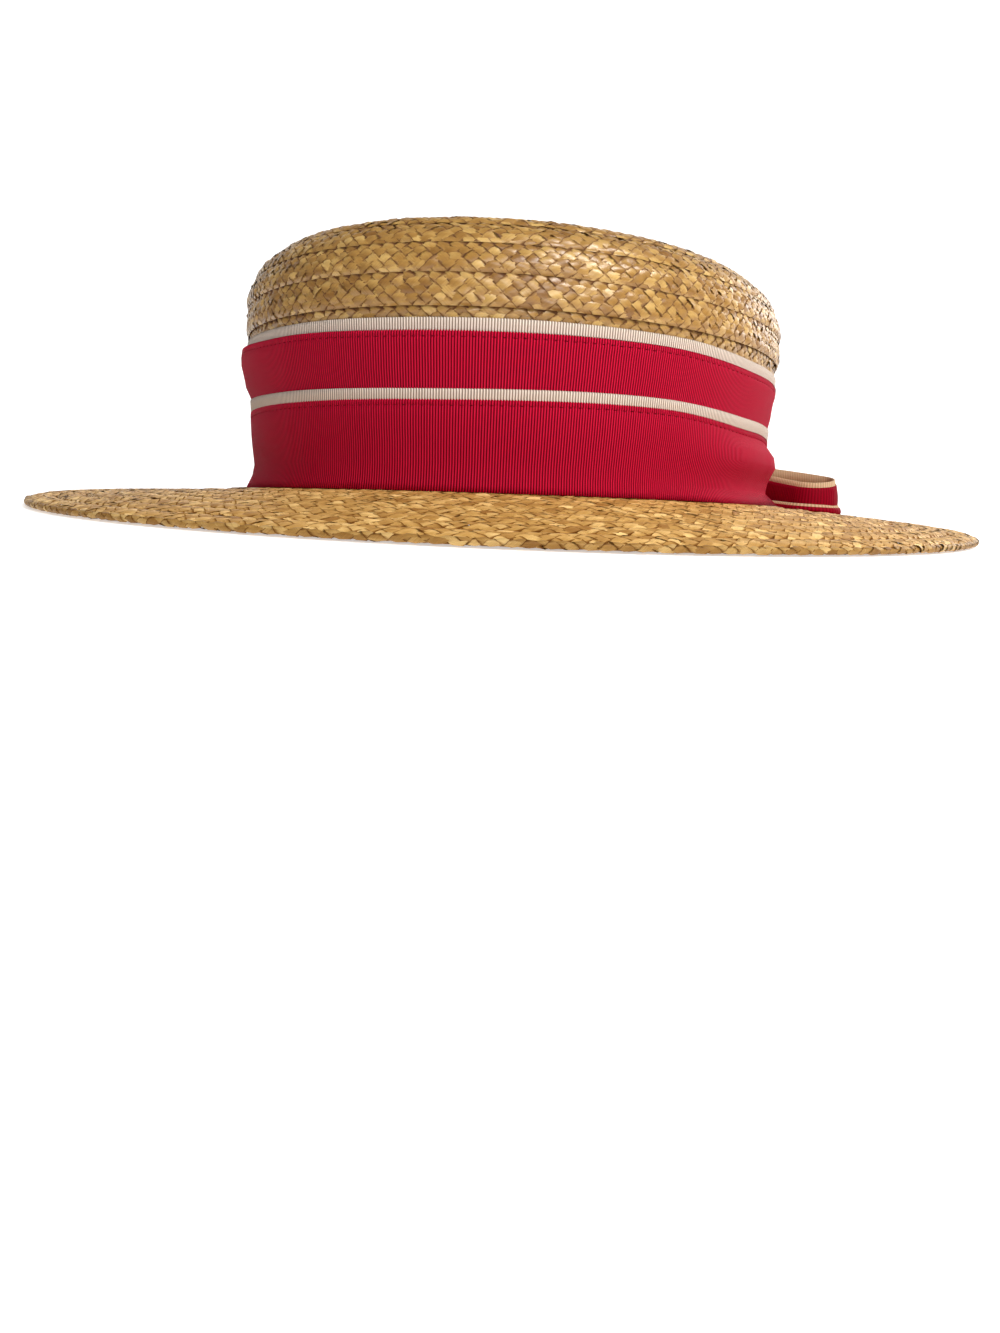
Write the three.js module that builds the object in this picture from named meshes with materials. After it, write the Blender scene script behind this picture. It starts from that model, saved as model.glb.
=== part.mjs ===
// Straw boater: a sewn-braid crown and brim, two tiers of grosgrain band and a side bow.
// Millimetres, +Z up. The brim's edge lies on z = 0, the front is -Y, the bow is on +X.
import * as THREE from 'three';

// The straw.
const headHalfWidth = 82;      // head opening at the root, half its width
const headHalfLength = 98;     // head opening at the root, half its length
const strawWall = 1.8;         // crown wall, braid over braid
const wallHeight = 52.8;       // root to the start of the shoulder
const wallFlare = 3.6;         // how far the wall leans out on its way up
const shoulderRadius = 17;     // round from the wall to the top
const tipRise = 3;             // dome of the top
const rowWidth = 8;            // width of braid that shows in each row
const crownStep = 0.8;         // each row tucks this far under the one above
const firstSeam = 45.25;       // height of the lowest seam above the band
const brimWidth = 66.8;        // from the wall to the edge
const brimWall = 1.4;          // brim thickness
const brimStep = 0.4;          // tuck of the brim's rows
const rootLift = 6.5;          // root of the crown above the floor
const edgeThick = 0.9;         // extra row sewn under the edge
const leanSide = 0.0208;       // the root rises towards the bow, per mm
const leanFront = 0.0268;      // and towards the front, per mm
const topSide = 0.011;         // the top falls towards the bow, per mm
const topBack = 0.013;         // and towards the back, per mm
const crownAside = 0.5;        // crown stands off the brim's middle, away from the bow
const crownForward = 0.4;      // and towards the front

// The band.
const cloth = 1;               // ribbon thickness
const gap = 0.3;               // air between neighbouring pieces
const lowerTop = 26.2;         // top of the lower tier's white edge
const upperTop = 42.6;         // top of the upper tier's white edge
const whiteShow = 3.1;         // white that shows above each red ribbon
const trimTuck = 5;            // white hidden behind the red
const tierTuck = 2;            // upper red hidden behind the lower white
const ribbonEase = 2.4;        // most that the soft ribbon stands off the straw

// The bow.
const bowBearing = 62;         // degrees from +X towards the back
const bowReach = 73;             // middle of the knot to the end of a loop
const bowOpening = 6.5;        // half the opening of a loop
const bowPinch = 0.6;          // half the opening inside the knot
const bowTop = 17.2;           // height of a loop's end
const bowRise = 7.5;           // how much higher the knot is
const bowTilt = 0.19;          // the outer wall stands higher, per mm
const bowSplay = 0.16;         // the walls spread towards the brim, per mm
const lowLoopTop = 8.4;        // height of the lower loops' end
const lowLoopRise = 3;         // how much higher they are at the knot
const loopWhite = 2.4;         // white that shows above the upper red loop
const lowLoopWhite = 1.2;      // white that shows above the lower red loop
const loopLap = 1.5;           // upper loops hidden inside the lower ones
const knotWidth = 12;          // wrap round the middle

const segments = 52;           // facets round the hat
const rootHalfWidth = headHalfWidth + strawWall;
const rootHalfLength = headHalfLength + strawWall;

// How the soft band lies, by bearing. foot, belly and puff are shares of ribbonEase:
// the lower edge, the middle of the lower tier and the top of the upper tier. The
// others move the edges up and down, as shares of whiteShow.
const drape = [
  { at: -90, foot: 0.30, belly: 0.00, puff: 0.05, upperRed: -0.05, lowerWhite: -0.20, lowerRed: -0.16 },
  { at: -45, foot: 0.40, belly: 0.10, puff: 0.00, upperRed: 0.06, lowerWhite: 0.16, lowerRed: 0.19 },
  { at: -15, foot: 1.10, belly: 1.00, puff: -0.05, upperRed: -0.45, lowerWhite: -0.35, lowerRed: -0.55 },
  { at: 10, foot: 1.80, belly: 1.50, puff: -0.05, upperRed: -0.60, lowerWhite: -0.60, lowerRed: -0.85 },
  { at: 45, foot: 0.05, belly: 0.00, puff: 0.00, upperRed: -0.20, lowerWhite: -0.20, lowerRed: -0.20 },
  { at: 80, foot: 0.05, belly: 0.00, puff: 0.00, upperRed: 0.00, lowerWhite: 0.00, lowerRed: 0.00 },
  { at: 150, foot: 0.50, belly: 0.10, puff: 0.30, upperRed: 0.10, lowerWhite: 0.05, lowerRed: 0.00 },
  { at: 215, foot: 1.20, belly: 0.10, puff: 0.75, upperRed: 0.15, lowerWhite: 0.05, lowerRed: -0.25 },
  { at: 240, foot: 0.60, belly: 0.00, puff: 0.30, upperRed: 0.00, lowerWhite: -0.10, lowerRed: -0.20 },
];

function drapeAt(column, degrees) {
  const count = drape.length;
  const turn = ((degrees - drape[0].at) % 360 + 360) % 360;
  for (let i = 0; i < count; i += 1) {
    const here = drape[i].at - drape[0].at;
    const next = i + 1 < count ? drape[i + 1].at - drape[0].at : 360;
    if (turn >= here && turn <= next) {
      const share = (1 - Math.cos(Math.PI * (turn - here) / (next - here))) / 2;
      return drape[i][column] * (1 - share) + drape[(i + 1) % count][column] * share;
    }
  }
  return 0;
}

// Sizes that follow from the ones above.
const edgeTop = edgeThick + gap + brimWall;
const layer = cloth + gap;
const crownHeight = wallHeight + shoulderRadius + tipRise;

function lean(x, y) {
  return leanSide * x - leanFront * y;
}

// The lean fades out across the brim, so the edge stays flat.
function leanShare(out) {
  return 1 - Math.min(Math.max(out / brimWidth, 0), 1);
}

// A point out mm outside the root's oval and up mm above the root.
function place(out, up, angle, sway = leanShare(out)) {
  const x = (rootHalfWidth + out) * Math.cos(angle) - crownAside * leanShare(out);
  const y = (rootHalfLength + out) * Math.sin(angle) - crownForward * leanShare(out);
  const fall = (topSide * x + topBack * y) * Math.min(Math.max(up / crownHeight, 0), 1);
  return [x, y, rootLift + up + lean(x, y) * sway - fall];
}

// Distance outside the root's oval of a point on the plan.
function outAt(x, y) {
  let low = -rootHalfWidth / 2;
  let high = brimWidth * 2;
  for (let i = 0; i < 40; i += 1) {
    const out = (low + high) / 2;
    const reach = Math.hypot(x / (rootHalfWidth + out), y / (rootHalfLength + out));
    if (reach > 1) low = out;
    else high = out;
  }
  return (low + high) / 2;
}

// Top of the brim above the root's level, before the lean.
function brimUp(out) {
  return -(rootLift - edgeTop) * Math.min(Math.max(out / brimWidth, 0), 1);
}

function brimSurface(x, y) {
  const out = outAt(x, y);
  return rootLift + brimUp(out) + lean(x, y) * leanShare(out);
}

// Closed rings of points joined one to the next; every ring has the same count.
function ringBody(rings) {
  const count = rings[0].length;
  const positions = rings.flat(2);
  const indices = [];
  for (let r = 0; r < rings.length; r += 1) {
    const next = (r + 1) % rings.length;
    for (let i = 0; i < count; i += 1) {
      const j = (i + 1) % count;
      const a = r * count + i;
      const b = next * count + i;
      const c = next * count + j;
      const d = r * count + j;
      indices.push(a, b, c, a, c, d);
    }
  }
  return makeGeometry(positions, indices);
}

// A shell that closes on the middle of the crown at both ends of its profile.
function cappedBody(rings, outerMiddle, innerMiddle) {
  const count = rings[0].length;
  const positions = [...rings.flat(2), ...outerMiddle, ...innerMiddle];
  const outer = rings.length * count;
  const inner = outer + 1;
  const indices = [];
  for (let r = 0; r < rings.length; r += 1) {
    const next = (r + 1) % rings.length;
    for (let i = 0; i + 1 < count; i += 1) {
      const a = r * count + i;
      const b = next * count + i;
      indices.push(a, b, b + 1, a, b + 1, a + 1);
    }
    indices.push(r * count + count - 1, next * count + count - 1, outer);
    indices.push(next * count, r * count, inner);
  }
  return makeGeometry(positions, indices);
}

function makeGeometry(positions, indices) {
  const geometry = new THREE.BufferGeometry();
  geometry.setAttribute('position', new THREE.Float32BufferAttribute(positions, 3));
  geometry.setIndex(indices);
  geometry.computeVertexNormals();
  return geometry;
}

// Rings of a section at each bearing round the hat.
function roundRings(section) {
  const rings = [];
  for (let i = 0; i < segments; i += 1) {
    const angle = Math.PI * 2 * i / segments;
    rings.push(section(angle * 180 / Math.PI).map(([out, up, sway]) => place(out, up, angle, sway)));
  }
  return rings;
}

// Straw surface behind the band.
function wallOut(up) {
  const share = Math.min(Math.max(up / firstSeam, 0), 1);
  return (wallFlare - crownStep) * share ** 1.6;
}

// A point on the crown, along mm up its profile from the root and depth mm inside.
function crownPoint(along, depth) {
  const roundLength = shoulderRadius * Math.PI / 2;
  if (along <= wallHeight) return [wallFlare - depth, along];
  if (along <= wallHeight + roundLength) {
    const turn = (along - wallHeight) / shoulderRadius;
    const radius = shoulderRadius - depth;
    return [wallFlare - shoulderRadius + radius * Math.cos(turn), wallHeight + radius * Math.sin(turn)];
  }
  const inward = along - wallHeight - roundLength;
  const topHalf = rootHalfWidth + wallFlare - shoulderRadius;
  const share = (topHalf - inward) / topHalf;
  return [wallFlare - shoulderRadius - inward, wallHeight + shoulderRadius - depth + tipRise * (1 - share ** 2)];
}

// Outside of the crown row by row, each one proud at its lower edge.
function crownProfile() {
  const roundEnd = wallHeight + shoulderRadius * Math.PI / 2;
  const last = roundEnd + rootHalfWidth + wallFlare - shoulderRadius - rowWidth / 2;
  const outside = [[0, gap], [wallOut(firstSeam / 2), firstSeam / 2], [wallOut(firstSeam), firstSeam]];
  for (let start = firstSeam; start < last; start += rowWidth) {
    const end = Math.min(start + rowWidth, last);
    const middle = (start + end) / 2;
    outside.push(crownPoint(start, 0));
    if (middle > wallHeight && middle < roundEnd) outside.push(crownPoint(middle, crownStep / 2));
    outside.push(crownPoint(end, crownStep));
  }
  const inside = [[-strawWall, gap], [wallOut(firstSeam / 2) - strawWall, firstSeam / 2]];
  for (let i = 0; i <= 4; i += 1) {
    inside.push(crownPoint(wallHeight + (roundEnd - wallHeight) * i / 4, strawWall));
  }
  inside.push(crownPoint((roundEnd + last) / 2, strawWall));
  inside.push(crownPoint(last, strawWall));
  return { outside, inside };
}

function makeCrown() {
  const { outside, inside } = crownProfile();
  const profile = [...inside.reverse(), ...outside];
  const middle = crownHeight + rootLift;
  return cappedBody(roundRings(() => profile), [0, 0, middle - crownStep], [0, 0, middle - strawWall]);
}

function makeBrim() {
  const under = (out) => brimUp(out) - brimWall;
  const top = [[-strawWall, 0], [0, 0]];
  for (let out = brimWidth % rowWidth; out < brimWidth + rowWidth / 2; out += rowWidth) {
    top.push([out, brimUp(out)]);
    if (out < brimWidth - rowWidth / 2) top.push([out, brimUp(out) - brimStep]);
  }
  const below = [brimWidth, brimWidth / 2, 0, -strawWall].map((out) => [out, under(out)]);
  return ringBody(roundRings(() => [...top, ...below].reverse()));
}

// The extra row under the edge; its flat underside is what the hat rests on.
function makeBrimEdge() {
  const inner = brimWidth - rowWidth;
  const above = (out) => brimUp(out) - brimWall - gap;
  const section = [[inner, -rootLift, 0], [brimWidth, -rootLift, 0], [brimWidth, above(brimWidth)]];
  section.push([inner, above(inner)]);
  return ringBody(roundRings(() => section));
}

// Heights of the band's edges at a bearing.
function levels(degrees) {
  const lowerWhite = lowerTop + whiteShow * drapeAt('lowerWhite', degrees);
  const lowerRed = lowerTop - whiteShow + whiteShow * drapeAt('lowerRed', degrees);
  const upperRed = upperTop - whiteShow + whiteShow * drapeAt('upperRed', degrees);
  const upperWhite = upperRed + whiteShow;
  return { lowerWhite, lowerRed, upperRed, upperWhite };
}

// A strip of ribbon: its inside face as [up, stand-off from the straw] from the bottom up.
function stripSection(inside) {
  const inner = inside.map(([up, off]) => [wallOut(up) + off, up]);
  const outer = inner.map(([out, up]) => [out + cloth, up]);
  return [...outer, ...inner.reverse()];
}

function lowerTrimFace(degrees) {
  const { lowerWhite, lowerRed } = levels(degrees);
  const step = lowerWhite - tierTuck - gap;
  return [[lowerRed - trimTuck, gap], [step, gap + layer], [lowerWhite, gap + layer]];
}

function makeLowerTrim() {
  return ringBody(roundRings((degrees) => stripSection(lowerTrimFace(degrees))));
}

function makeLowerRibbon() {
  return ringBody(roundRings((degrees) => {
    const { lowerRed } = levels(degrees);
    const foot = ribbonEase * drapeAt('foot', degrees);
    const belly = ribbonEase * drapeAt('belly', degrees);
    const [low, step] = lowerTrimFace(degrees);
    const onTrim = low[1] + (step[1] - low[1]) * (lowerRed - low[0]) / (step[0] - low[0]);
    const foldUp = low[0] - gap - cloth;
    return stripSection([
      [gap, gap + foot],
      [foldUp * 0.2, gap + foot * 0.3],
      [foldUp * 0.4, gap + belly * 0.4],
      [foldUp * 0.75, gap + belly],
      [low[0] - gap, low[1] + layer + belly * 0.5],
      [lowerRed, onTrim + layer],
    ]);
  }));
}

function makeUpperTrim() {
  return ringBody(roundRings((degrees) => {
    const { upperRed, upperWhite } = levels(degrees);
    return stripSection([[upperRed - trimTuck, gap], [upperWhite, gap]]);
  }));
}

function makeUpperRibbon() {
  return ringBody(roundRings((degrees) => {
    const { lowerWhite, upperRed } = levels(degrees);
    const puff = ribbonEase * drapeAt('puff', degrees);
    const trimFoot = upperRed - trimTuck;
    return stripSection([
      [lowerWhite - tierTuck, gap],
      [lowerWhite + gap, gap],
      [trimFoot - gap, gap + layer + Math.max(puff, 0) * 0.8],
      [(trimFoot + upperRed) / 2, gap + layer + Math.max(puff, 0)],
      [upperRed, gap + layer + Math.max(puff, 0) * 0.8],
    ]);
  }));
}

// The bow stands on the brim, its loops along the tangent at bowBearing.
const loopLayers = bowPinch + layer * 4;
const knotHalfDepth = loopLayers + cloth;
const pinchEnd = knotWidth * 0.7;

function bowFrame() {
  const angle = bowBearing * Math.PI / 180;
  const [x, y] = place(wallOut(lowerTop) + gap + layer * 2, 0, angle);
  const away = new THREE.Vector2(Math.cos(angle) / rootHalfWidth, Math.sin(angle) / rootHalfLength).normalize();
  const along = new THREE.Vector2(away.y, -away.x);
  const centre = new THREE.Vector2(x, y).addScaledVector(away, gap + knotHalfDepth);
  return { centre, along, away };
}

// Inside face of the loops on the plan: pinched in the middle, round at both ends.
function loopPath() {
  const straight = bowReach - bowOpening;
  const half = [[0, bowPinch]];
  for (let i = 0; i <= 5; i += 1) {
    const share = i / 5;
    const swell = share * share * (3 - 2 * share);
    half.push([pinchEnd + (straight - pinchEnd) * share, bowPinch + (bowOpening - bowPinch) * swell]);
  }
  for (let i = 1; i < 4; i += 1) {
    const turn = Math.PI / 2 * i / 4;
    half.push([straight + bowOpening * Math.sin(turn), bowOpening * Math.cos(turn)]);
  }
  const side = [...half, [bowReach, 0], ...half.slice(1).reverse().map(([u, w]) => [u, -w])];
  return [...side, [0, -bowPinch], ...side.slice(1).reverse().map(([u, w]) => [-u, w])];
}

function pathNormals(path) {
  return path.map((point, i) => {
    const before = path[(i + path.length - 1) % path.length];
    const after = path[(i + 1) % path.length];
    return new THREE.Vector2(before[1] - after[1], after[0] - before[0]).normalize();
  });
}

// 0 inside the wrap, 1 at a loop's end.
function bowShare(along) {
  return Math.min(Math.max(Math.abs(along) - pinchEnd, 0) / (bowReach - pinchEnd), 1);
}

// One ribbon of the loops; depth counts the layers outside the innermost one.
function makeLoop(depth, topAt, bottomAt) {
  const { centre, along, away } = bowFrame();
  const path = loopPath();
  const normals = pathNormals(path);
  const rings = path.map(([u, w], i) => {
    const ground = (off) => {
      const spot = centre.clone().addScaledVector(along, u + normals[i].x * off);
      spot.addScaledVector(away, w + normals[i].y * off);
      return [spot.x, spot.y];
    };
    const corner = (off, heightAt) => {
      const [x0, y0] = ground(off);
      const z = heightAt(u, w, x0, y0);
      const splay = bowSplay * (bowTop - z) * bowShare(u);
      return [...ground(off + splay), z];
    };
    const inner = layer * depth;
    const outer = inner + cloth;
    return [corner(inner, bottomAt), corner(inner, topAt), corner(outer, topAt), corner(outer, bottomAt)];
  });
  return ringBody(rings);
}

function upperLoopTop(u, w) {
  return bowTop + bowRise * (1 - bowShare(u)) + bowTilt * w;
}

function lowerLoopTop(u) {
  return lowLoopTop + lowLoopRise * (1 - bowShare(u));
}

function upperLoopBottom(u) {
  return lowerLoopTop(u) - lowLoopWhite - loopLap;
}

// The loops lie on the brim but pass over the wrap in the middle.
function lowerLoopBottom(u, w, x, y) {
  const overWrap = 1 - Math.min(bowShare(u) * 3, 1);
  return brimSurface(x, y) + gap * 2 + layer * overWrap;
}

function makeKnot() {
  const { centre, along, away } = bowFrame();
  const corner = 2;
  const top = upperLoopTop(0, 0) + gap + bowTilt * loopLayers;
  const wrap = (grow) => {
    const half = loopLayers + grow;
    const points = [];
    for (const [sw, sz, start] of [[1, -1, -90], [1, 1, 0], [-1, 1, 90], [-1, -1, 180]]) {
      for (let i = 0; i <= 2; i += 1) {
        const turn = (start + 45 * i) * Math.PI / 180;
        const radius = corner - cloth + grow;
        const w = sw * (half - radius) + radius * Math.cos(turn);
        const rise = sz * radius - radius * Math.sin(turn);
        points.push({ w, rise, high: sz > 0, grow });
      }
    }
    return points;
  };
  const slice = (u, points) => points.map(({ w, rise, high, grow }) => {
    const spot = centre.clone().addScaledVector(along, u).addScaledVector(away, w);
    const floor = brimSurface(spot.x, spot.y) + gap + cloth - grow;
    return [spot.x, spot.y, high ? top + grow - rise : floor - rise];
  });
  const outside = wrap(cloth);
  const inside = wrap(0);
  const near = -knotWidth / 2;
  const far = knotWidth / 2;
  const rings = outside.map((point, i) => [
    ...slice(near, [point]),
    ...slice(far, [point]),
    ...slice(far, [inside[i]]),
    ...slice(near, [inside[i]]),
  ]);
  return ringBody(rings);
}

function strawMaterial(name) {
  return new THREE.MeshStandardMaterial({ name, color: 0xc39a5b, roughness: 0.55, metalness: 0 });
}

function redMaterial(name) {
  return new THREE.MeshStandardMaterial({ name, color: 0xac1030, roughness: 0.7, metalness: 0 });
}

function whiteMaterial(name) {
  return new THREE.MeshStandardMaterial({ name, color: 0xe6dccb, roughness: 0.75, metalness: 0 });
}

const group = new THREE.Group();
group.name = 'straw_boater';

function add(name, geometry, makeMaterial) {
  const mesh = new THREE.Mesh(geometry, makeMaterial(`${name}_material`));
  mesh.name = name;
  group.add(mesh);
}

add('crown', makeCrown(), strawMaterial);
add('brim', makeBrim(), strawMaterial);
add('brim_edge', makeBrimEdge(), strawMaterial);
add('upper_trim', makeUpperTrim(), whiteMaterial);
add('upper_ribbon', makeUpperRibbon(), redMaterial);
add('lower_trim', makeLowerTrim(), whiteMaterial);
add('lower_ribbon', makeLowerRibbon(), redMaterial);
add('bow_upper_lining', makeLoop(0, upperLoopTop, upperLoopBottom), whiteMaterial);
add('bow_upper_loops', makeLoop(1, (u, w) => upperLoopTop(u, w) - loopWhite, upperLoopBottom), redMaterial);
add('bow_lower_lining', makeLoop(2, lowerLoopTop, lowerLoopBottom), whiteMaterial);
add('bow_lower_loops', makeLoop(3, (u) => lowerLoopTop(u) - lowLoopWhite, lowerLoopBottom), redMaterial);
add('bow_knot', makeKnot(), redMaterial);

export default group;
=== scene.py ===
import math

import bpy
import numpy as np
from mathutils import Matrix, Vector


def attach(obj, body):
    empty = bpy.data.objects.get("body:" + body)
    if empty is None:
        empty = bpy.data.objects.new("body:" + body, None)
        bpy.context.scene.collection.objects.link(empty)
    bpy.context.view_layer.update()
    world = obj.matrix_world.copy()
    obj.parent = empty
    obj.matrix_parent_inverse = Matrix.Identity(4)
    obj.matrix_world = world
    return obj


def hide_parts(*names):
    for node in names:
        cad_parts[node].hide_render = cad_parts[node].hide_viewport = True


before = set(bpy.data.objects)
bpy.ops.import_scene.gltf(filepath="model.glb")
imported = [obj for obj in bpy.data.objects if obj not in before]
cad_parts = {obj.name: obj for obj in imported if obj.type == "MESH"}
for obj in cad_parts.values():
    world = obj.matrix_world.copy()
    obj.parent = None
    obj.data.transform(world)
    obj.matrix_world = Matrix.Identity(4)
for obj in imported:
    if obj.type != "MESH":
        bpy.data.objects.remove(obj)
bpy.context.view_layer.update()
mm = 0.001

# The hat's own sizes in mm, over the outer face of the straw.
hat = {
    "halfWidth": 83.8, "halfLength": 99.8, "lift": 6.5, "leanSide": 0.0208, "leanFront": 0.0268,
    "wallHeight": 52.8, "flare": 3.6, "tuck": 0.8, "seam": 45.25, "shoulder": 17.0, "rise": 3.0,
    "row": 8.0, "brim": 66.8, "edgeTop": 2.6, "topSide": 0.011, "topBack": 0.013,
    "aside": 0.5, "forward": 0.4,
}

# The plait: lap is hidden under the next row and covered is its share of the braid's width,
# pitch is along the braid per strand, and halfStrand is in pitches.
braid = {
    "lap": 3.0, "covered": 0.27, "pitch": 3.8, "strands": 6, "halfStrand": 0.59, "slip": 0.05,
    # facet paints light and shade along each cell, one end lighter and the other darker.
    "weave": 0.26, "round": 0.2, "wander": 0.04, "roll": 0.22, "uneven": 0.05, "facetLight": 0.2,
    # brimRimShadow paints a shadow line along the brim rows' proud edges.
    "dome": 0.8, "brimDome": 0.75, "brimRelief": 0.55, "brimRimShadow": 0.85, "edgeRelief": 0.8,
    "perCrossing": 4, "seed": 11,
}

# The band: real ribbon thickness, rib spacing, the scallop of its edges, and the heights of
# the ribbons' top edges. tuck is how far a white ribbon goes down behind its red one, and
# ribs and stitches are counted on ovals that lie out and sewnOut from the crown's root.
band = {
    "thick": 0.5, "air": 0.08, "rib": 0.75, "scallop": 0.17, "perRib": 2, "stitch": 2.6, "out": 2,
    "sewnOut": 3, "lowerRed": 23.3, "lowerWhite": 26.0, "upperRed": 39.5, "show": 3.1, "tuck": 7,
}

# The bow: two tiers of loops held by a wrap. shorter is how much the lower tier is drawn in,
# cut is the ribbon's width, wrapLength what goes once round the middle, and level the height
# on the wall that it lies against, with gap between them.
bow = {
    "bearing": 62.0, "reach": 72.0, "opening": 6.5, "pinch": 0.6, "top": 17.2, "rise": 7.5, "tilt": 0.19,
    "splay": 0.11, "lowTop": 8.4, "lowRise": 3.0, "white": 1.9, "lowWhite": 0.9, "lap": 1.5, "knot": 12.0,
    "layer": 1.3, "thick": 0.5, "cut": 14.5, "shorter": 1.4, "wrapLength": 62.0,
    "level": 26.2, "gap": 0.3,
}

crownHeight = hat["wallHeight"] + hat["shoulder"] + hat["rise"]


def lean(x, y):
    return hat["leanSide"] * x - hat["leanFront"] * y


def leanShare(out):
    return 1 - np.clip(out / hat["brim"], 0, 1)


def place(out, up, angle):
    x = (hat["halfWidth"] + out) * np.cos(angle) - hat["aside"] * leanShare(out)
    y = (hat["halfLength"] + out) * np.sin(angle) - hat["forward"] * leanShare(out)
    fall = (hat["topSide"] * x + hat["topBack"] * y) * np.clip(up / crownHeight, 0, 1)
    return np.stack([x, y, hat["lift"] + up + lean(x, y) * leanShare(out) - fall], -1)


def brimUp(out):
    return -(hat["lift"] - hat["edgeTop"]) * np.clip(out / hat["brim"], 0, 1)


def wallOut(up):
    return (hat["flare"] - hat["tuck"]) * np.clip(up / hat["seam"], 0, 1) ** 1.6


# Angles at even steps of length round an oval.
def evenAngles(out, turns):
    fine = np.linspace(0, 2 * np.pi, 1441)
    a, b = hat["halfWidth"] + out, hat["halfLength"] + out
    steps = np.hypot(np.diff(a * np.cos(fine)), np.diff(b * np.sin(fine)))
    length = np.concatenate([[0], np.cumsum(steps)])
    whole = np.floor(turns)
    return 2 * np.pi * whole + np.interp((turns - whole) * length[-1], length, fine)


def ovalLength(out):
    a, b = hat["halfWidth"] + out, hat["halfLength"] + out
    return np.pi * (3 * (a + b) - math.sqrt((3 * a + b) * (a + 3 * b)))


def makeMesh(name, points, faces, uv=None, values=None):
    mesh = bpy.data.meshes.new(name)
    points = np.asarray(points, dtype=np.float32) * mm
    faces = np.asarray(faces, dtype=np.int32)
    size = faces.shape[1]
    mesh.vertices.add(len(points))
    mesh.vertices.foreach_set("co", points.ravel())
    mesh.loops.add(faces.size)
    mesh.loops.foreach_set("vertex_index", faces.ravel())
    mesh.polygons.add(len(faces))
    mesh.polygons.foreach_set("loop_start", np.arange(0, faces.size, size, dtype=np.int32))
    mesh.polygons.foreach_set("use_smooth", np.full(len(faces), True))
    mesh.update(calc_edges=True)
    if uv is not None:
        layer = mesh.uv_layers.new(name="UVMap")
        layer.data.foreach_set("uv", np.asarray(uv, dtype=np.float32)[faces.ravel()].ravel())
    for key, numbers in (values or {}).items():
        attribute = mesh.attributes.new(key, "FLOAT", "POINT")
        attribute.data.foreach_set("value", np.asarray(numbers, dtype=np.float32))
    mesh.validate()
    thing = bpy.data.objects.new(name, mesh)
    bpy.context.scene.collection.objects.link(thing)
    return thing


# A grid of rows by columns of points; a closed one joins on to itself both ways.
def gridFaces(rows, columns, closed=False):
    r = np.arange(rows if closed else rows - 1)
    c = np.arange(columns if closed else columns - 1)
    rr, cc = np.meshgrid(r, c, indexing="ij")
    rn, cn = (rr + 1) % rows, (cc + 1) % columns
    quads = np.stack([rr * columns + cc, rr * columns + cn, rn * columns + cn, rn * columns + cc], -1)
    return quads.reshape(-1, 4)


# The proud edge of a row bends down to the row under it.
def droop(t):
    return 0.3 * np.clip((t - 0.88) / 0.12, 0, 1) ** 2


# 0 where the next row's edge lies, 1 at the row's own proud edge.
def shownShare(t):
    return np.clip((t - braid["covered"]) / (1 - braid["covered"]), 0, 1)


# A straw row's section: t runs across the braid, 0 at the inner or upper edge.
def crownSection(index):
    seam = hat["seam"] + hat["row"] * index
    wide = hat["row"] + braid["lap"]
    roundLength = hat["shoulder"] * math.pi / 2
    topHalf = hat["halfWidth"] + hat["flare"] - hat["shoulder"]
    end = hat["wallHeight"] + roundLength + topHalf + 0.2

    def section(t):
        along = np.minimum(seam + (1 - t) * wide, end)
        shown = shownShare(t)
        depth = 0.55 + 0.8 * (1 - t) + droop(t) - 0.35 * braid["dome"] * 4 * shown * (1 - shown)
        if index < 0:
            proud = 0.35 * np.clip((along - 42.8) / 1.5, 0, 1)
            return wallOut(along) - depth + proud, along, np.ones_like(t), np.zeros_like(t)
        turn = np.clip((along - hat["wallHeight"]) / hat["shoulder"], 0, math.pi / 2)
        inward = np.maximum(along - hat["wallHeight"] - roundLength, 0)
        share = (topHalf - inward) / topHalf
        radius = hat["shoulder"] - depth
        out = hat["flare"] - hat["shoulder"] + radius * np.cos(turn) - inward
        low = np.minimum(along, hat["wallHeight"])
        up = low + radius * np.sin(turn) + hat["rise"] * (1 - share**2) * (inward > 0)
        return out, up, np.cos(turn), np.sin(turn)

    return section


def brimSection(index):
    outer = hat["brim"] - hat["row"] * index
    wide = hat["row"] + braid["lap"]

    def section(t):
        out = np.maximum(outer - (1 - t) * wide, -1.2)
        shown = shownShare(t)
        hump = braid["brimDome"] * (4 * shown * (1 - shown) - 0.4)
        depth = 0.2 + 0.45 * (1 - t) + droop(t) - hump + (0.3 * t if index == 0 else 0)
        return out, brimUp(out) - depth, np.zeros_like(t), np.ones_like(t)

    return section


# The row under the edge rolls round into the lip.
def edgeSection(t):
    flat = 0.62
    radius = 0.66
    outer = hat["brim"] + 0.35 - radius
    inner = hat["brim"] - hat["row"]
    straight = np.clip(t / flat, 0, 1)
    turn = np.clip((t - flat) / 0.2, 0, 1) * math.pi
    back = np.clip((t - flat - 0.2) / (1 - flat - 0.2), 0, 1)
    out = inner + (outer - inner) * straight + radius * np.sin(turn) - 3.0 * back
    z = 0.5 + radius * (1 - np.cos(turn)) + 0.1 * back
    return out, z - hat["lift"], np.sin(turn), -np.cos(turn)


# One random value for each crossing of each strip, eased from one to the next.
def cellValues(random, strips, strands, t):
    values = random.standard_normal((strips, strands + 1))
    at = np.clip(t * strands, 0, strands - 1e-6)
    low = at.astype(int)
    here = np.take_along_axis(values, low.reshape(strips, -1), 1).reshape(t.shape)
    after = np.take_along_axis(values, low.reshape(strips, -1) + 1, 1).reshape(t.shape)
    return here + (after - here) * (at - low)
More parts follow.
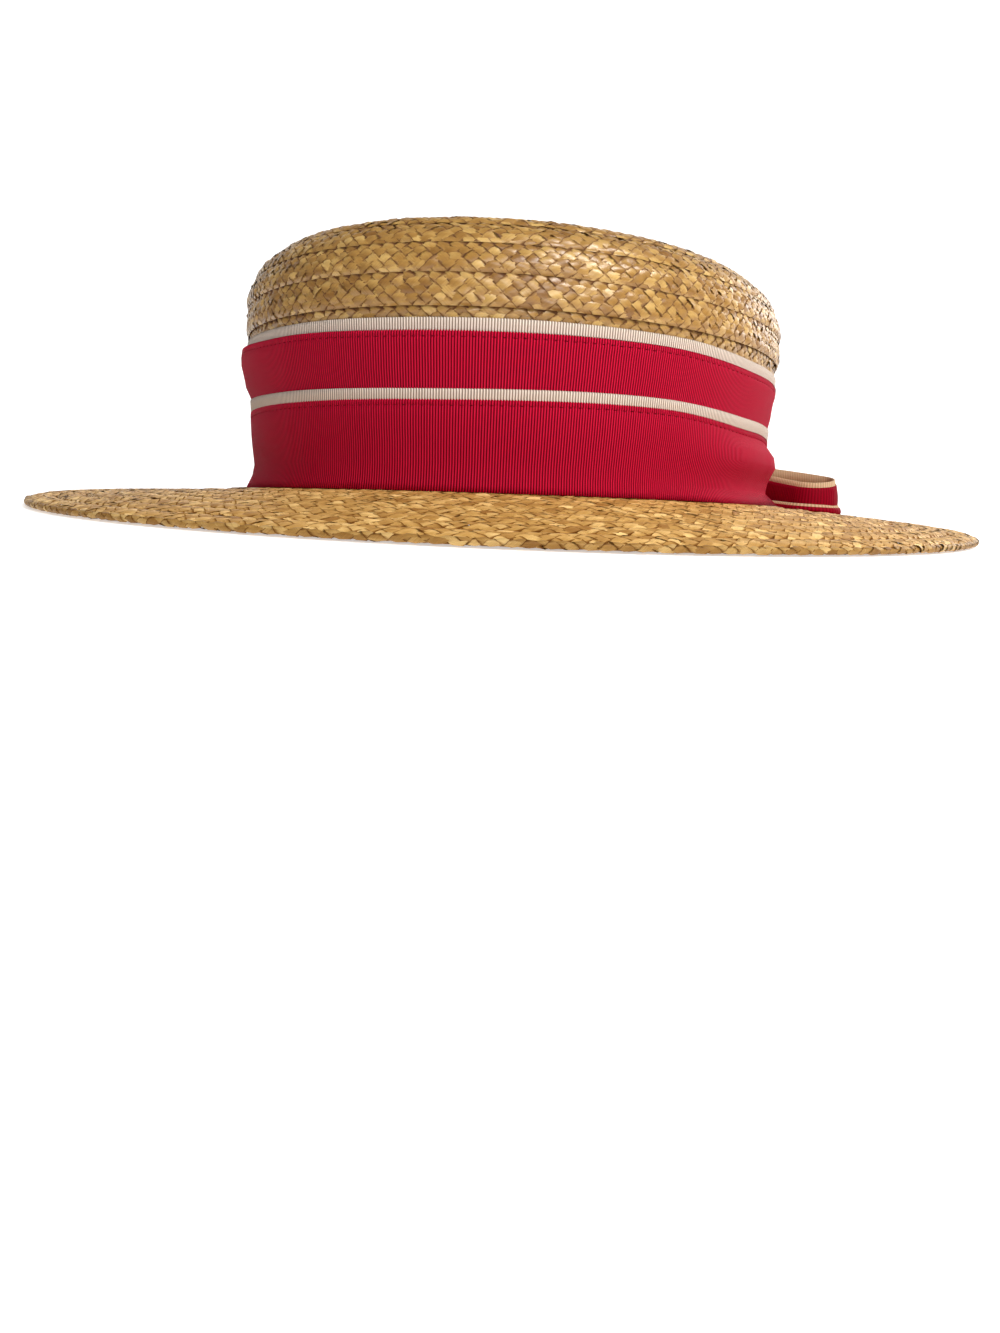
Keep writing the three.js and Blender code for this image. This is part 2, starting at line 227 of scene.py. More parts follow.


# Strands zigzag across the row, each a lens-shaped strip passing over one and under one.
# relief scales how far they stand out, and rim paints a shadow line along the row's proud edge.
def plaitRow(section, seed, perCrossing, atOut=None, shift=0.0, relief=1.0, rim=0.0):
    random = np.random.default_rng(braid["seed"] * 1000 + seed)
    middle = section(np.array([0.5]))[0][0] if atOut is None else atOut
    length = ovalLength(middle)
    strands = braid["strands"]
    samples = perCrossing * strands
    strips = max(int(round(length / braid["pitch"] / 2)) * 2, 8)
    across = np.array([-1.0, 0.0, 1.0])
    along = np.linspace(0, 1, samples + 1)
    label, lam, w = np.meshgrid(np.arange(strips), along, across, indexing="ij")
    points, tones, paintedShades, uvs, faces = [], [], [], [], []
    for way in (1, -1):
        t = lam if way > 0 else 1 - lam
        wide = (1 + braid["wander"] * random.standard_normal(strips))[:, None, None]
        slip = (braid["slip"] * random.standard_normal(strips))[:, None, None]
        s = label + 0.5 * strands * t * way + slip + w * braid["halfStrand"] * wide
        phase = math.pi * (strands * t + way * w * 0.5)
        wave = np.clip(way * 1.5 * np.cos(phase), -1, 1)
        edge = np.sin(math.pi * np.clip(t, 0, 1)) ** 0.35
        lift = braid["weave"] * wave * edge
        lift = lift + braid["round"] * (0.5 - w**2) * (0.55 + 0.45 * edge)
        roll = cellValues(random, strips, strands, t)
        lift = lift + braid["roll"] * roll * w
        lift = lift + braid["uneven"] * cellValues(random, strips, strands, t)
        lift = lift * relief
        out, up, nOut, nUp = section(t)
        angle = evenAngles(middle, (s + shift) / strips)
        spot = place(out + nOut * lift, up + nUp * lift, angle)
        starts = np.arange(strips) * (samples + 1) * len(across) + sum(len(p) for p in points)
        quads = gridFaces(samples + 1, len(across))[None] + starts[:, None, None]
        faces.append(quads.reshape(-1, 4))
        points.append(spot.reshape(-1, 3))
        tone = 0.5 + 0.2 * random.standard_normal(strips)[:, None, None]
        tone = tone + 0.22 * cellValues(random, strips, strands, t)
        # Painted light and shade: each cell is lighter at one end and darker at the other.
        tones.append((tone - braid["facetLight"] * way * np.sin(phase)).ravel())
        # Painted shade: darker towards each strand's edges, where it dives under, under the next row's
        # edge, and with rim along the row's proud edge.
        rimShade = 1 - rim * (1 - np.clip((1 - t) / 0.15, 0, 1))
        shadow = rimShade * np.clip((wave + 1.3) / 0.9, 0.3, 1)
        shadow = shadow * np.clip((t - braid["covered"]) / 0.12, 0.05, 1)
        paintedShades.append(((1 - np.abs(w)) * shadow).ravel())
        fibre = random.random(strips)[:, None, None] * 50
        uvs.append(np.stack([lam + fibre, w * 0.5 + fibre], -1).reshape(-1, 2))
    return [np.concatenate(part) for part in (points, faces, uvs, tones, paintedShades)]


def joinRows(name, rows, material, nodes=()):
    starts = np.concatenate([[0], np.cumsum([len(row[0]) for row in rows])])
    faces = np.concatenate([row[1] + start for row, start in zip(rows, starts)])
    points, uvs, tones, paintedShades = (np.concatenate([row[k] for row in rows]) for k in (0, 2, 3, 4))
    thing = makeMesh(name, points, faces, uvs, {"tone": tones, "paintedShade": paintedShades})
    finishPiece(thing, material, nodes)


def finishPiece(thing, material, nodes=()):
    thing.data.materials.append(material)
    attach(thing, "root")
    if nodes:
        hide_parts(*nodes)
    print(thing.name, len(thing.data.polygons), "faces")


def newMaterial(name):
    material = bpy.data.materials.new(name)
    material.use_nodes = True
    nodes = material.node_tree.nodes
    return material, nodes, material.node_tree.links, nodes["Principled BSDF"]


def colourRamp(nodes, stops):
    ramp = nodes.new("ShaderNodeValToRGB").color_ramp
    while len(ramp.elements) < len(stops):
        ramp.elements.new(0.5)
    for element, (at, colour) in zip(ramp.elements, stops):
        element.position = at
        element.color = (*colour, 1)
    return nodes[-1]


# Straw: each strand its own tone with painted light and shade along its cells, fine fibres along it, and
# painted shade in the recesses.
strawLook = {
    "dark": (0.27, 0.13, 0.03), "middle": (0.46, 0.265, 0.075), "light": (0.76, 0.53, 0.21),
    "paintedShade": (0.3, 0.19, 0.1), "fibreScale": 26.0, "fibreBump": 0.2,
}


def strawMaterial(name, tint, roughness, specular):
    material, nodes, links, shader = newMaterial(name)
    tone = nodes.new("ShaderNodeAttribute")
    tone.attribute_name = "tone"
    uv = nodes.new("ShaderNodeUVMap")
    stretch = nodes.new("ShaderNodeMapping")
    stretch.inputs["Scale"].default_value = (1.4, strawLook["fibreScale"], 1)
    links.new(uv.outputs["UV"], stretch.inputs["Vector"])
    fibre = nodes.new("ShaderNodeTexNoise")
    fibre.inputs["Scale"].default_value = 1.0
    fibre.inputs["Detail"].default_value = 3.0
    links.new(stretch.outputs["Vector"], fibre.inputs["Vector"])
    mix = nodes.new("ShaderNodeMath")
    mix.operation = "MULTIPLY_ADD"
    links.new(fibre.outputs["Fac"], mix.inputs[0])
    mix.inputs[1].default_value = 0.9
    spread = nodes.new("ShaderNodeMath")
    spread.operation = "MULTIPLY_ADD"
    links.new(tone.outputs["Fac"], spread.inputs[0])
    spread.inputs[1].default_value = 0.75
    spread.inputs[2].default_value = -0.325
    links.new(spread.outputs[0], mix.inputs[2])
    colours = [np.multiply(strawLook[key], tint) for key in ("dark", "middle", "light")]
    ramp = colourRamp(nodes, list(zip((0.0, 0.5, 1.0), colours)))
    links.new(mix.outputs[0], ramp.inputs["Fac"])
    # Painted shade: the colour is darkened towards a brown shade colour between and under the strands.
    paintedShade = nodes.new("ShaderNodeAttribute")
    paintedShade.attribute_name = "paintedShade"
    shade = colourRamp(nodes, [(0.02, strawLook["paintedShade"]), (0.17, (1, 1, 1))])
    links.new(paintedShade.outputs["Fac"], shade.inputs["Fac"])
    paintedShadeMix = nodes.new("ShaderNodeMixRGB")
    paintedShadeMix.blend_type = "MULTIPLY"
    paintedShadeMix.inputs["Fac"].default_value = 1.0
    links.new(ramp.outputs["Color"], paintedShadeMix.inputs["Color1"])
    links.new(shade.outputs["Color"], paintedShadeMix.inputs["Color2"])
    links.new(paintedShadeMix.outputs["Color"], shader.inputs["Base Color"])
    bump = nodes.new("ShaderNodeBump")
    bump.inputs["Strength"].default_value = strawLook["fibreBump"]
    bump.inputs["Distance"].default_value = 0.0002
    links.new(fibre.outputs["Fac"], bump.inputs["Height"])
    links.new(bump.outputs["Normal"], shader.inputs["Normal"])
    dull = nodes.new("ShaderNodeMapRange")
    dull.inputs["From Min"].default_value = 0.04
    dull.inputs["From Max"].default_value = 0.2
    dull.inputs["To Min"].default_value = 0.9
    dull.inputs["To Max"].default_value = roughness
    links.new(paintedShade.outputs["Fac"], dull.inputs["Value"])
    links.new(dull.outputs["Result"], shader.inputs["Roughness"])
    shader.inputs["Specular IOR Level"].default_value = specular
    return material


# Grosgrain: the ribs run across the ribbon, one for each unit of the UV's u, with painted shade between
# them.
def ribbonMaterial(name, dark, light, sheen, ribDepth, roughness):
    material, nodes, links, shader = newMaterial(name)
    uv = nodes.new("ShaderNodeUVMap")
    split = nodes.new("ShaderNodeSeparateXYZ")
    links.new(uv.outputs["UV"], split.inputs["Vector"])
    turn = nodes.new("ShaderNodeMath")
    turn.operation = "MULTIPLY"
    turn.inputs[1].default_value = 2 * math.pi
    links.new(split.outputs["X"], turn.inputs[0])
    wave = nodes.new("ShaderNodeMath")
    wave.operation = "SINE"
    links.new(turn.outputs[0], wave.inputs[0])
    half = nodes.new("ShaderNodeMath")
    half.operation = "MULTIPLY_ADD"
    half.inputs[1].default_value = 0.5
    half.inputs[2].default_value = 0.5
    links.new(wave.outputs[0], half.inputs[0])
    # Painted shade: darker between the ribs.
    ramp = colourRamp(nodes, [(0.1, dark), (0.9, light)])
    links.new(half.outputs[0], ramp.inputs["Fac"])
    weft = nodes.new("ShaderNodeTexNoise")
    weft.inputs["Scale"].default_value = 1.0
    weft.inputs["Detail"].default_value = 2.0
    stretch = nodes.new("ShaderNodeMapping")
    stretch.inputs["Scale"].default_value = (0.9, 14, 1)
    links.new(uv.outputs["UV"], stretch.inputs["Vector"])
    links.new(stretch.outputs["Vector"], weft.inputs["Vector"])
    shade = nodes.new("ShaderNodeMapRange")
    shade.inputs["To Min"].default_value = 0.86
    shade.inputs["To Max"].default_value = 1.12
    links.new(weft.outputs["Fac"], shade.inputs["Value"])
    tint = nodes.new("ShaderNodeMixRGB")
    tint.blend_type = "MULTIPLY"
    tint.inputs["Fac"].default_value = 1.0
    links.new(ramp.outputs["Color"], tint.inputs["Color1"])
    links.new(shade.outputs["Result"], tint.inputs["Color2"])
    links.new(tint.outputs["Color"], shader.inputs["Base Color"])
    bump = nodes.new("ShaderNodeBump")
    bump.inputs["Strength"].default_value = ribDepth
    bump.inputs["Distance"].default_value = 0.0003
    links.new(half.outputs[0], bump.inputs["Height"])
    links.new(bump.outputs["Normal"], shader.inputs["Normal"])
    shader.inputs["Roughness"].default_value = roughness
    shader.inputs["Specular IOR Level"].default_value = 0.035
    shader.inputs["Sheen Weight"].default_value = sheen
    shader.inputs["Sheen Roughness"].default_value = 0.4
    return material


def buildStraw():
    straw = strawMaterial("plaited_straw", (0.88, 0.82, 0.68), 0.28, 0.6)
    # The brim's copy is painted lighter, painted light on its top, and the edge's copy darker, painted
    # shade where the lip curves under.
    litBrimStraw = strawMaterial("plaited_straw_brim_lit", (1.31, 1.28, 1.3), 0.4, 0.05)
    shadedEdgeStraw = strawMaterial("plaited_straw_edge_shaded", (0.84, 0.8, 0.78), 0.4, 0.1)
    fine = braid["perCrossing"]
    hidden = [plaitRow(crownSection(k), 40 + k, 2, shift=0.37 * k) for k in range(-6, -1)]
    side = [plaitRow(crownSection(k), 40 + k, fine, shift=0.37 * k) for k in range(-1, 4)]
    top = [plaitRow(crownSection(k), 40 + k, 3, shift=0.37 * k) for k in range(4, 13)]
    joinRows("crown_braid_side", side, straw, ["crown"])
    joinRows("crown_braid_behind_band", hidden, straw)
    joinRows("crown_braid_top", top, straw)
    flat = {"relief": braid["brimRelief"], "rim": braid["brimRimShadow"]}
    outer = [plaitRow(brimSection(k), 80 + k, 3, shift=0.41 * k, **flat) for k in range(0, 5)]
    inner = [plaitRow(brimSection(k), 80 + k, 3, shift=0.41 * k, **flat) for k in range(5, 10)]
    joinRows("brim_braid_outer", outer, litBrimStraw, ["brim"])
    joinRows("brim_braid_inner", inner, litBrimStraw)
    edge = plaitRow(edgeSection, 99, fine, atOut=hat["brim"] - 3, relief=braid["edgeRelief"])
    joinRows("brim_edge_braid", [edge], shadedEdgeStraw, ["brim_edge"])


# How the soft band lies, by bearing: foot, belly and puff in mm off the straw, the
# edges' heights in mm from their usual levels.
drape = {
    "at": [-90, -45, -15, 10, 45, 80, 150, 215, 240],
    "foot": [0.7, 1.0, 4.4, 7.2, 0.1, 0.1, 1.2, 2.9, 1.4],
    "belly": [0.0, 0.2, 3.0, 4.4, 0.0, 0.0, 0.2, 0.2, 0.0],
    "puff": [0.1, 0.0, 0.0, 0.0, 0.0, 0.0, 0.7, 1.8, 0.7],
    "upperRed": [-0.15, 0.2, -1.4, -1.9, -0.6, 0.0, 0.3, 1.3, 0.3],
    "lowerWhite": [-0.6, 0.5, -1.1, -1.9, -0.6, 0.0, 0.15, 0.15, -0.3],
    "lowerRed": [-0.5, 0.6, -1.7, -2.6, -0.6, 0.0, 0.0, -0.8, -0.6],
}


def drapeAt(column, degrees):
    at = np.array(drape["at"] + [drape["at"][0] + 360], float)
    values = np.array(drape[column] + [drape[column][0]], float)
    turn = (degrees - at[0]) % 360 + at[0]
    i = np.clip(np.searchsorted(at, turn, side="right") - 1, 0, len(at) - 2)
    share = (turn - at[i]) / (at[i + 1] - at[i])
    share = (1 - np.cos(math.pi * share)) / 2
    return values[i] * (1 - share) + values[i + 1] * share


# A ribbon round the crown: rows of (height, stand-off) from the foot to the top edge.
def ribbonRing(name, rows, material, node):
    ribs = int(round(ovalLength(band["out"]) / band["rib"]))
    columns = ribs * band["perRib"]
    turns = np.arange(columns) / columns
    angle = evenAngles(band["out"], turns)
    degrees = np.degrees(angle)
    scallop = band["scallop"] * np.cos(2 * math.pi * ribs * turns)
    levels = rows(degrees, scallop)
    outer = [place(wallOut(up) + off + band["thick"], up, angle) for up, off in levels]
    inner = [place(wallOut(up) + off, up, angle) for up, off in levels[::-2]]
    rim = np.stack(outer + inner)
    height = np.concatenate([np.arange(len(levels)), np.arange(len(levels))[::-2]])
    uv = np.stack(np.broadcast_arrays(turns * ribs, height[:, None]), -1)
    faces = gridFaces(len(rim), columns, closed=True)
    thing = makeMesh(name, rim.reshape(-1, 3), faces, uv.reshape(-1, 2))
    finishPiece(thing, material, [node])
    return thing


# Short stitches of thread along one level of a ribbon.
def stitchRow(name, rows, level, material):
    count = int(round(ovalLength(band["sewnOut"]) / band["stitch"]))
    angle = evenAngles(band["sewnOut"], (np.arange(count) + 0.5) / count)
    up, off = rows(np.degrees(angle), 0.0)[level]
    out = wallOut(up) + off + band["thick"]
    half = band["stitch"] * 0.36 / (hat["halfLength"] + band["sewnOut"])
    ends = [place(out, up, angle - half), place(out, up, angle + half)]
    middle = [place(out + a, up + b, angle) for a, b in ((0.16, 0), (0, 0.2), (-0.1, 0), (0, -0.2))]
    points = np.stack(ends + middle, 1).reshape(-1, 3)
    corners = [[end, 2 + k, 2 + (k + 1) % 4] for k in range(4) for end in (0, 1)]
    faces = (np.array(corners)[None] + 6 * np.arange(count)[:, None, None]).reshape(-1, 3)
    thing = makeMesh(name, points, faces, np.full((len(points), 2), 0.9))
    finishPiece(thing, material)
    return thing


# Even rows between the key ones, with the stand-off eased from one to the next.
def smoothRows(keys, count):
    rows = []
    for value in np.linspace(0, len(keys) - 1, count):
        i = min(int(value), len(keys) - 2)
        g = value - i
        f = g * g * (3 - 2 * g)
        (lowUp, lowOff), (highUp, highOff) = keys[i], keys[i + 1]
        rows.append((lowUp * (1 - g) + highUp * g, lowOff * (1 - f) + highOff * f))
    return rows


def buildBand(red, white):
    air = band["air"]
    layer = air + band["thick"]

    def levelsAt(degrees):
        lowerWhite = band["lowerWhite"] + drapeAt("lowerWhite", degrees)
        lowerRed = band["lowerRed"] + drapeAt("lowerRed", degrees)
        upperRed = band["upperRed"] + drapeAt("upperRed", degrees)
        return lowerWhite, lowerRed, upperRed

    def ripple(degrees, seed, size):
        turn = np.radians(degrees)
        wide = 0.5 * np.sin(7 * turn + seed) + 0.3 * np.sin(13 * turn + 2.1 * seed)
        wide = wide + 0.2 * np.sin(23 * turn + 0.7 * seed)
        fine = 0.6 * np.sin(41 * turn + 1.3 * seed) + 0.4 * np.sin(67 * turn + 0.4 * seed)
        sides = sum(np.exp(-((((degrees - at + 180) % 360) - 180) / 16.0) ** 2) for at in (4, 208))
        return size * (wide * (1 + sides) + 1.1 * fine * sides)

    def lowerRed(degrees, scallop):
        _, top, _ = levelsAt(degrees)
        foot, belly = drapeAt("foot", degrees), drapeAt("belly", degrees)
        base = air + 0.1
        keys = [
            (0.25 * scallop + 0.1 - 0.05 * foot, base + foot),
            (3.8 + 0 * top, base + foot * 0.32),
            (7.0 + 0 * top, base + belly * 0.5 + ripple(degrees, 1, 0.18)),
            (12.5 + 0 * top, base + belly + ripple(degrees, 4, 0.2) + 0.3),
            (16.0 + 0 * top, base + belly * 0.7 + layer + ripple(degrees, 4, 0.08)),
            (top - 1.9, base + layer + 0.16),
            (top - 1.45, base + layer - 0.02),
            (top - 1.0, base + layer + 0.14),
            (top + scallop, base + layer),
        ]
        return smoothRows(keys, 17)

    def lowerWhite(degrees, scallop):
        top, red, _ = levelsAt(degrees)
        keys = [
            (red - band["tuck"], air),
            (red - 1.5, air + 0.1),
            (red, air + layer),
            (top + 0.6 * scallop, air + layer),
        ]
        return smoothRows(keys, 7)

    def upperRed(degrees, scallop):
        white, _, top = levelsAt(degrees)
        puff = drapeAt("puff", degrees)
        keys = [
            (white - 2, air),
            (white + 0.3, air),
            (white + 5, air + layer * 0.6 + puff * 0.7 + ripple(degrees, 2, 0.18)),
            (top - 4, air + layer + puff + ripple(degrees, 5, 0.1)),
            (top - 1.9, air + layer + puff * 0.9 + 0.14),
            (top - 1.45, air + layer + puff * 0.85 - 0.02),
            (top - 1.0, air + layer + puff * 0.8 + 0.12),
            (top + scallop, air + layer + puff * 0.7),
        ]
        return smoothRows(keys, 15)

    def upperWhite(degrees, scallop):
        _, _, red = levelsAt(degrees)
        top = red + band["show"] - 0.7 * np.clip(drapeAt("upperRed", degrees), 0, None)
        return smoothRows([(red - band["tuck"], air), (red, air), (top + 0.6 * scallop, air)], 5)

    rings = [
        (ribbonRing("upper_white_ribbon", upperWhite, white, "upper_trim"), 10.1),
        (ribbonRing("upper_red_ribbon", upperRed, red, "upper_ribbon"), 15.5),
        (ribbonRing("lower_white_ribbon", lowerWhite, white, "lower_trim"), 10.1),
        (ribbonRing("lower_red_ribbon", lowerRed, red, "lower_ribbon"), 24.0),
    ]
    # The level is the row of points in the groove under the top edge.
    stitches = [
        stitchRow("upper_stitches", upperRed, 10, red),
        stitchRow("lower_stitches", lowerRed, 12, red),
    ]


# How far outside the crown's root a point lies, found by halving.
def outAt(x, y):
    low = np.full(np.shape(x), -40.0)
    high = np.full(np.shape(x), 140.0)
    for _ in range(40):
        out = (low + high) / 2
        beyond = np.hypot(x / (hat["halfWidth"] + out), y / (hat["halfLength"] + out)) > 1
        low = np.where(beyond, out, low)
        high = np.where(beyond, high, out)
    return (low + high) / 2


def brimSurface(x, y):
    out = outAt(x, y)
    return hat["lift"] + brimUp(out) + lean(x, y) * leanShare(out)


knotDepth = bow["pinch"] + bow["layer"] * 4
pinchEnd = bow["knot"] * 0.7


def bowFrame():
    angle = math.radians(bow["bearing"])
    spot = place(wallOut(bow["level"]) + bow["gap"] + bow["layer"] * 2, 0, angle)[:2]
    away = np.array([math.cos(angle) / hat["halfWidth"], math.sin(angle) / hat["halfLength"]])
    away /= np.linalg.norm(away)
    return spot + away * (bow["gap"] + knotDepth + 1), np.array([away[1], -away[0]]), away


# The loops' outline seen from above: pinched at the wrap, round at both ends.
def loopPath(count, shorter):
    straight = bow["reach"] - shorter - bow["opening"]
    share = np.linspace(0, 1, count)
    swell = share**2 * (3 - 2 * share)
    u = np.concatenate([np.linspace(0, pinchEnd, 7)[:-1], pinchEnd + (straight - pinchEnd) * share])
    w = np.concatenate([np.full(6, bow["pinch"]), bow["pinch"] + (bow["opening"] - bow["pinch"]) * swell])
    turn = np.linspace(0, math.pi / 2, 12)[1:]
    u = np.concatenate([u, straight + bow["opening"] * np.sin(turn)])
    w = np.concatenate([w, bow["opening"] * np.cos(turn)])
    side = np.stack([np.concatenate([u, u[-2::-1]]), np.concatenate([w, -w[-2::-1]])], -1)
    return np.concatenate([side, (side * [-1, 1])[1:-1][::-1]])


def bowShare(u):
    return np.clip((np.abs(u) - pinchEnd) / (bow["reach"] - pinchEnd), 0, 1)


def upperTop(u, w):
    return bow["top"] + bow["rise"] * (1 - bowShare(u)) + bow["tilt"] * w


def lowerTop(u):
    return bow["lowTop"] + bow["lowRise"] * (1 - bowShare(u))


def makeLoop(name, outside, topAt, bottomAt, material, slot, node, shorter=0):
    centre, alongWay, away = bowFrame()
    path = loopPath(26, shorter)
    step = np.hypot(*(np.roll(path, -1, 0) - path).T)
    length = np.concatenate([[0], np.cumsum(step)])
    ribs = int(round(length[-1] / band["rib"]))
    columns = ribs * 2
    at = np.arange(columns) / columns * length[-1]
    closed = np.concatenate([path, path[:1]])
    u, w = (np.interp(at, length, closed[:, k]) for k in (0, 1))
    u, w = (sum(np.roll(v, k) for k in range(-3, 4)) / 7 for v in (u, w))
    du, dw = np.roll(u, -2) - np.roll(u, 2), np.roll(w, -2) - np.roll(w, 2)
    size = np.hypot(du, dw)
    nu, nw = -dw / size, du / size
    rings = []
    faceRows = ((outside, np.linspace(0, 1, 9)), (outside - bow["thick"], np.linspace(1, 0, 5)))
    for off, levels in faceRows:
        for level in levels:
            def ground(stand):
                spot = centre + np.outer(u + nu * stand, alongWay) + np.outer(w + nw * stand, away)
                return spot[:, 0], spot[:, 1]

            x, y = ground(off)
            z = bottomAt(u, w, x, y) * (1 - level) + topAt(u, w) * level
            belly = 0.5 * math.sin(math.pi * level) * bowShare(u)
            x, y = ground(off + bow["splay"] * (bow["top"] - z) * bowShare(u) + belly)
            rings.append(np.stack([x, y, z], -1))
    count = len(rings)
    uv = np.zeros((count, columns, 2))
    uv[..., 0] = np.arange(columns) / 2
    uv[..., 1] = (np.minimum(np.arange(count), count - 1 - np.arange(count)) * 1.0)[:, None]
    faces = gridFaces(count, columns, closed=True)
    thing = makeMesh(name, np.stack(rings).reshape(-1, 3), faces[:, ::-1], uv.reshape(-1, 2))
    finishPiece(thing, material, [node])
    return thing


def buildBow(red, lining):
    layer = bow["layer"]

    def upperBottom(u, w, x, y):
        return lowerTop(u) - bow["lowWhite"] - bow["lap"]

    def lowerBottom(u, w, x, y):
        overWrap = 1 - np.clip(bowShare(u) * 3, 0, 1)
        return brimSurface(x, y) + 0.35 + layer * overWrap

    def upperRedTop(u, w):
        return upperTop(u, w) - bow["white"]

    def lowerWhiteTop(u, w):
        return lowerTop(u)

    def lowerRedTop(u, w):
        return lowerTop(u) - bow["lowWhite"]

    upper = {"bottomAt": upperBottom}
    lower = {"bottomAt": lowerBottom, "shorter": bow["shorter"]}
    pale = {"material": lining, "slot": "white_ribbon"}
    bright = {"material": red, "slot": "red_ribbon"}
    loops = [
        ("upper_loops_lining", "bow_upper_lining", layer + 0.75, upperTop, upper, pale),
        ("upper_loops_red", "bow_upper_loops", layer + 1.3, upperRedTop, upper, bright),
        ("lower_loops_lining", "bow_lower_lining", layer * 3 + 0.4, lowerWhiteTop, lower, pale),
        ("lower_loops_red", "bow_lower_loops", layer * 3 + 1.0, lowerRedTop, lower, bright),
    ]
    for name, node, outside, topAt, tier, cloth in loops:
        makeLoop(name, outside, topAt, node=node, **tier, **cloth)


# The ribbon wrapped round the middle, a flat tube with rounded corners.
def buildWrap(red):
    centre, alongWay, away = bowFrame()
    corner, steps = 2.0, 8
    half = bow["knot"] / 2
    top = upperTop(0, 0) + bow["gap"] + bow["tilt"] * knotDepth
    rings = []
    across = np.linspace(-half, half, 33)
    for grow, order in ((1.0, 1), (0.4, -1)):
        loop = []
        for sw, sz, start in ((1, -1, -90), (1, 1, 0), (-1, 1, 90), (-1, -1, 180)):
            for turn in np.radians(np.linspace(start, start + 90, steps)):
                radius = corner - 1 + grow
                w = sw * (knotDepth + grow - radius) + radius * math.cos(turn)
                drop = sz * radius - radius * math.sin(turn)
                loop.append((w, drop, sz > 0))
        for at in across[::order]:
            ring = []
            for w, drop, high in loop:
                x, y = centre + alongWay * at + away * w
                foot = brimSurface(x, y) + bow["gap"] + 1
                z = top + grow - drop if high else foot - grow - drop
                ring.append((x, y, z))
            rings.append(ring)
    rings = np.array(rings)
    count, columns = rings.shape[:2]
    uv = np.zeros((count, columns, 2))
    uv[..., 0] = np.linspace(0, 60, columns)
    uv[..., 1] = np.arange(count)[:, None] * 0.5
    faces = gridFaces(count, columns, closed=True)
    thing = makeMesh("bow_wrap", rings.reshape(-1, 3), faces, uv.reshape(-1, 2))
    finishPiece(thing, red, ["bow_knot"])


# Matt white paper that glows a little, so that it stays pale away from the lamps.
def paperMaterial(name, glow):
    material, _, _, shader = newMaterial(name)
    shader.inputs["Base Color"].default_value = (0.9, 0.9, 0.9, 1)
    shader.inputs["Roughness"].default_value = 0.9
    shader.inputs["Emission Color"].default_value = (1, 1, 1, 1)
    shader.inputs["Emission Strength"].default_value = glow
    return material


# corners are in metres
def paperSheet(name, corners, material):
    sheet = makeMesh(name, np.array(corners) / mm, [[0, 1, 2, 3]])
    sheet.data.materials.append(material)
    return sheet


# Lamps in metres and watts; the sun's size is an angle and its strength in watts a square metre.
stage = {
    "half": 6.0, "floorGlow": 0.5, "backGlow": 0.6, "world": 0.2,
    "aim": (0, 0, 0.03), "warm": (1.0, 0.97, 0.93),
    "sun": {"spot": (0.8, -0.4, 1.2), "size": 0.3, "strength": 0.75},
    "key": {"spot": (0.5, -0.28, 0.56), "size": 0.24, "strength": 2.8},
    "front_window": {"spot": (0.9, -1.5, 0.75), "size": 0.6, "strength": 9.0},
    "back_window": {"spot": (0.75, 1.15, 0.5), "size": 0.6, "strength": 3.0},
}


def addLamp(name, colour=(1, 1, 1)):
    lamp = stage[name]
    light = bpy.data.lights.new(name, "SUN" if name == "sun" else "AREA")
    light.energy = lamp["strength"]
    light.color = colour
    spot = Vector(lamp["spot"])
    aim = Vector()
    if name == "sun":
        light.angle = lamp["size"]
    else:
        light.shape = "DISK"
        light.size = lamp["size"]
        aim = Vector(stage["aim"])
    thing = bpy.data.objects.new(name, light)
    bpy.context.scene.collection.objects.link(thing)
    thing.location = spot
    thing.rotation_euler = (aim - spot).to_track_quat("-Z", "Y").to_euler()


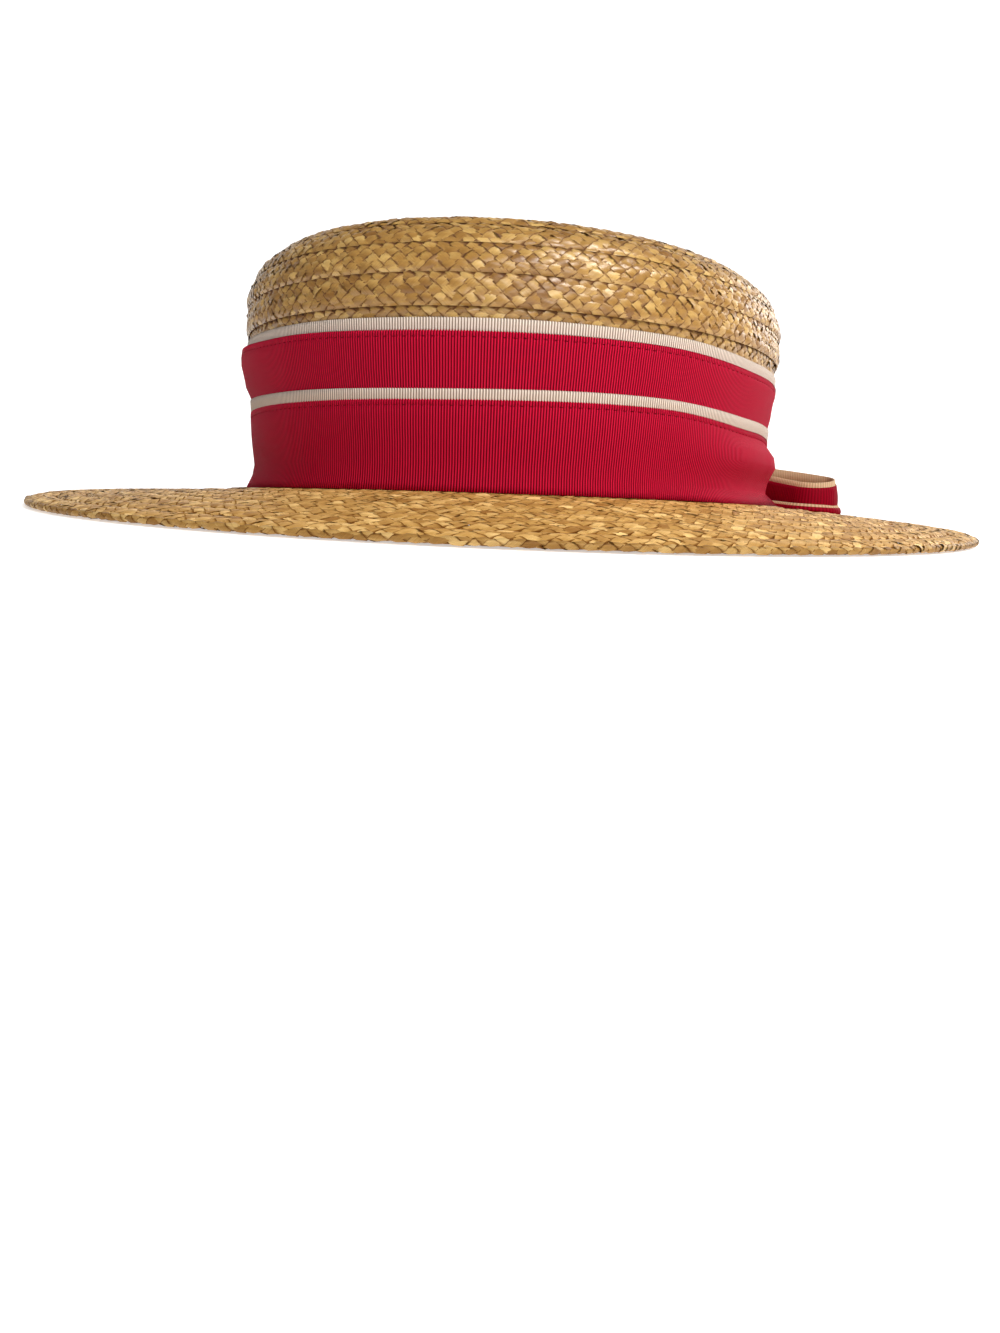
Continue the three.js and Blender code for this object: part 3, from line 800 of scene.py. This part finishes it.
def buildStage():
    half = stage["half"]
    square = [[-half, -half, 0], [half, -half, 0], [half, half, 0], [-half, half, 0]]
    floor = paperSheet("floor", square, paperMaterial("pale_floor", stage["floorGlow"]))
    floor.location.z = -0.0002
    wall = [[-9, 4, -0.5], [9, 4, -0.5], [9, 4, 6], [-9, 4, 6]]
    paperSheet("backdrop", wall, paperMaterial("white_backdrop", stage["backGlow"]))
    world = bpy.data.worlds.new("soft_white")
    world.use_nodes = True
    world.node_tree.nodes["Background"].inputs["Color"].default_value = (1, 1, 1, 1)
    world.node_tree.nodes["Background"].inputs["Strength"].default_value = stage["world"]
    bpy.context.scene.world = world
    addLamp("sun", stage["warm"])
    addLamp("key", stage["warm"])
    addLamp("front_window")
    addLamp("back_window")


# The camera as worked out from the photo's ovals: its place in mm, its axes, and its focal
# length and picture height in the photo's pixels.
view = {
    "spot": (105.08, -353.95, 14.69), "right": (0.953381, 0.298411, 0.044900),
    "up": (-0.097457, 0.163652, 0.981692), "back": (0.285600, -0.940303, 0.185105),
    "focal": 1025, "height": 1333.333, "sensor": 36,
}


def buildCamera():
    data = bpy.data.cameras.new("camera")
    data.sensor_width = view["sensor"]
    data.lens = view["focal"] / view["height"] * view["sensor"]
    data.clip_start = 0.01
    camera = bpy.data.objects.new("camera", data)
    turn = Matrix((view["right"], view["up"], view["back"])).transposed().to_4x4()
    camera.matrix_world = Matrix.Translation(Vector(view["spot"]) * mm) @ turn
    bpy.context.scene.collection.objects.link(camera)
    bpy.context.scene.camera = camera


# Grosgrain: between the ribs (painted shade), on the ribs, sheen, depth of the ribs and roughness.
grosgrain = {
    "red_grosgrain": ((0.11, 0.0003, 0.006), (0.72, 0.009, 0.052), 0.0, 0.7, 0.62),
    # The bow's red and its lining are the band's red and white painted darker: painted shade on the
    # loops, and in the lining a painted warm reflection from the straw.
    "red_grosgrain_shaded": ((0.19, 0.0006, 0.009), (0.3, 0.0012, 0.016), 0.0, 0.3, 0.62),
    "white_grosgrain": ((0.33, 0.245, 0.19), (0.92, 0.79, 0.69), 0.05, 0.8, 0.7),
    "white_grosgrain_shaded": ((0.5, 0.33, 0.19), (0.7, 0.49, 0.31), 0.05, 0.3, 0.7),
}

bpy.context.scene.view_settings.view_transform = "Standard"
buildStraw()
print("straw done")
ribbons = [ribbonMaterial(name, *look) for name, look in grosgrain.items()]
redRibbon, loopRibbon, whiteRibbon, liningRibbon = ribbons
buildBand(redRibbon, whiteRibbon)
print("band done")
buildBow(loopRibbon, liningRibbon)
buildWrap(loopRibbon)
print("bow done")
buildStage()
buildCamera()
